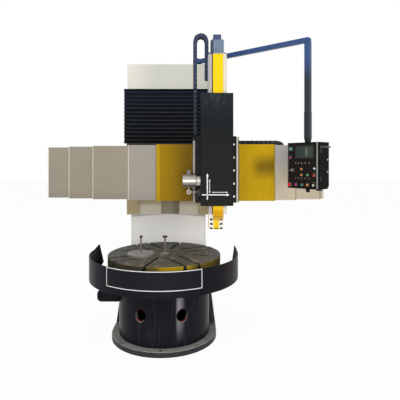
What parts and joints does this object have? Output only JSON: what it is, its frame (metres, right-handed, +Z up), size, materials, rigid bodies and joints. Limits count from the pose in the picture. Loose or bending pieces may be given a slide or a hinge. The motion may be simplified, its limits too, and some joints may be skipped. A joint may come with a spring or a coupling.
{
  "type": "single column vertical lathe",
  "caption": "Vertical turning lathe: a round slotted table on a tub base, a column with a lifting crossrail, a side ram head behind sliding covers, and a swing-arm control pendant.",
  "frame": {"origin": "on the floor under the work table's turning axis", "axes": "+Z up, -Y out of the machine's front towards the operator, +X to the operator's right"},
  "size_m": [2.582, 2.0019, 2.7315],
  "materials": {
    "machine_beige": "satin",
    "machine_white": "satin",
    "graphite_paint": "satin",
    "guard_blue": "gloss",
    "base_blue": "gloss",
    "table_steel": "worn",
    "worn_steel": "worn",
    "cover_steel": "brushed",
    "cover_yellow": "satin",
    "bright_yellow": "satin",
    "ram_cream": "satin",
    "wiper_strip": "brushed",
    "bellows_cloth": "matt",
    "polished_steel": "polished",
    "chain_plastic": "matt",
    "motor_paint": "satin",
    "hazard_paint": "satin",
    "arm_paint": "satin",
    "pendant_paint": "satin",
    "panel_paint": "satin",
    "screen_glass": "gloss",
    "button_plastic": "gloss",
    "handle_plastic": "matt"
  },
  "bodies": {
    "frame": {"base_casting": "base_blue", "foot_plate": "base_blue", "table_bearing": "worn_steel", "guard_left": "guard_blue", "guard_front": "guard_blue", "guard_right": "guard_blue", "guard_tray": "guard_blue", "belt_housing": "base_blue", "column": "machine_beige", "rear_cover": "machine_white", "column_guide_rails": "worn_steel", "column_crown": "machine_beige", "apron_lower": "machine_white", "bellows_top_plate": "graphite_paint", "bellows": "bellows_cloth", "arm_pivot_post": "graphite_paint"},
    "table": {"worktable": "table_steel", "rod_stand": "polished_steel", "centre_pin": "polished_steel"},
    "crossrail": {"crossrail_beam": "machine_beige", "crossrail_shoe": "machine_beige", "crossrail_end_plates": "machine_white", "fixed_covers": "cover_steel", "apron_upper": "machine_white", "bellows_low_plate": "graphite_paint", "x_chain_loop": "chain_plastic"},
    "saddle": {"saddle_plate": "graphite_paint", "saddle_wipers": "wiper_strip", "saddle_covers": "cover_yellow", "head_casting": "graphite_paint", "head_cover": "graphite_paint", "head_end_caps": "graphite_paint", "ram_gibs": "worn_steel", "side_drum": "polished_steel", "eye_link": "polished_steel", "chain_brackets": "graphite_paint", "z_chain_loop": "chain_plastic", "x_chain_upper": "chain_plastic"},
    "ram": {"ram_bar": "ram_cream", "ram_front_strip": "bright_yellow", "tool_holder": "hazard_paint", "ram_motor": "motor_paint", "chain_hanger": "motor_paint", "z_chain_drop": "chain_plastic"},
    "cover_left_2": {"cover_left_2": "cover_steel"},
    "cover_left_3": {"cover_left_3": "cover_steel"},
    "cover_left_4": {"cover_left_4": "cover_steel"},
    "cover_right_2": {"cover_right_2": "cover_steel"},
    "cover_right_3": {"cover_right_3": "cover_steel"},
    "apron_middle": {"apron_middle": "machine_white"},
    "arm": {"arm_beam": "arm_paint", "arm_post": "arm_paint"},
    "pendant": {"pendant_neck": "arm_paint", "pendant_housing": "pendant_paint", "pendant_panel": "panel_paint", "pendant_screen": "screen_glass", "pendant_controls": "button_plastic", "pendant_handle": "handle_plastic"}
  },
  "joints": [
    {"name": "table_spin", "type": "hinge", "parent": "frame", "child": "table", "pos_m": [0, 0, 0.6], "axis": [0, 0, 1], "continuous": true},
    {"name": "crossrail_lift", "type": "slide", "parent": "frame", "child": "crossrail", "axis": [0, 0, 1], "range_m": [-0.15, 0.34], "deforming": ["bellows"]},
    {"name": "apron_slide", "type": "slide", "parent": "frame", "child": "apron_middle", "axis": [0, 0, 1], "range_m": [-0.075, 0.17]},
    {"name": "saddle_traverse", "type": "slide", "parent": "crossrail", "child": "saddle", "axis": [1, 0, 0], "range_m": [-0.52, 0.25], "deforming": ["x_chain_upper"]},
    {"name": "ram_feed", "type": "slide", "parent": "saddle", "child": "ram", "axis": [0, 0, -1], "range_m": [-0.15, 0.215], "deforming": ["z_chain_drop"]},
    {"name": "arm_swing", "type": "hinge", "parent": "frame", "child": "arm", "pos_m": [0.297, 0.635, 2.588], "axis": [0, 0, 1], "range_deg": [-16, 4]},
    {"name": "pendant_turn", "type": "hinge", "parent": "arm", "child": "pendant", "pos_m": [1.244, -0.16, 1.743], "axis": [0, 0, 1], "range_deg": [-45, 45]},
    {"name": "cover_left_2_slide", "type": "slide", "parent": "crossrail", "child": "cover_left_2", "axis": [1, 0, 0], "range_m": [-0.391, 0.1885]},
    {"name": "cover_left_3_slide", "type": "slide", "parent": "crossrail", "child": "cover_left_3", "axis": [1, 0, 0], "range_m": [-0.261, 0.126]},
    {"name": "cover_left_4_slide", "type": "slide", "parent": "crossrail", "child": "cover_left_4", "axis": [1, 0, 0], "range_m": [-0.131, 0.0635]},
    {"name": "cover_right_2_slide", "type": "slide", "parent": "crossrail", "child": "cover_right_2", "axis": [1, 0, 0], "range_m": [-0.34767, 0.16767]},
    {"name": "cover_right_3_slide", "type": "slide", "parent": "crossrail", "child": "cover_right_3", "axis": [1, 0, 0], "range_m": [-0.17433, 0.08433]}
  ],
  "couplings": [
    {"joint": "apron_slide", "follows": "crossrail_lift", "ratio": 0.5},
    {"joint": "cover_left_2_slide", "follows": "saddle_traverse", "ratio": 0.75},
    {"joint": "cover_left_3_slide", "follows": "saddle_traverse", "ratio": 0.5},
    {"joint": "cover_left_4_slide", "follows": "saddle_traverse", "ratio": 0.25},
    {"joint": "cover_right_2_slide", "follows": "saddle_traverse", "ratio": 0.66667},
    {"joint": "cover_right_3_slide", "follows": "saddle_traverse", "ratio": 0.33333}
  ]
}
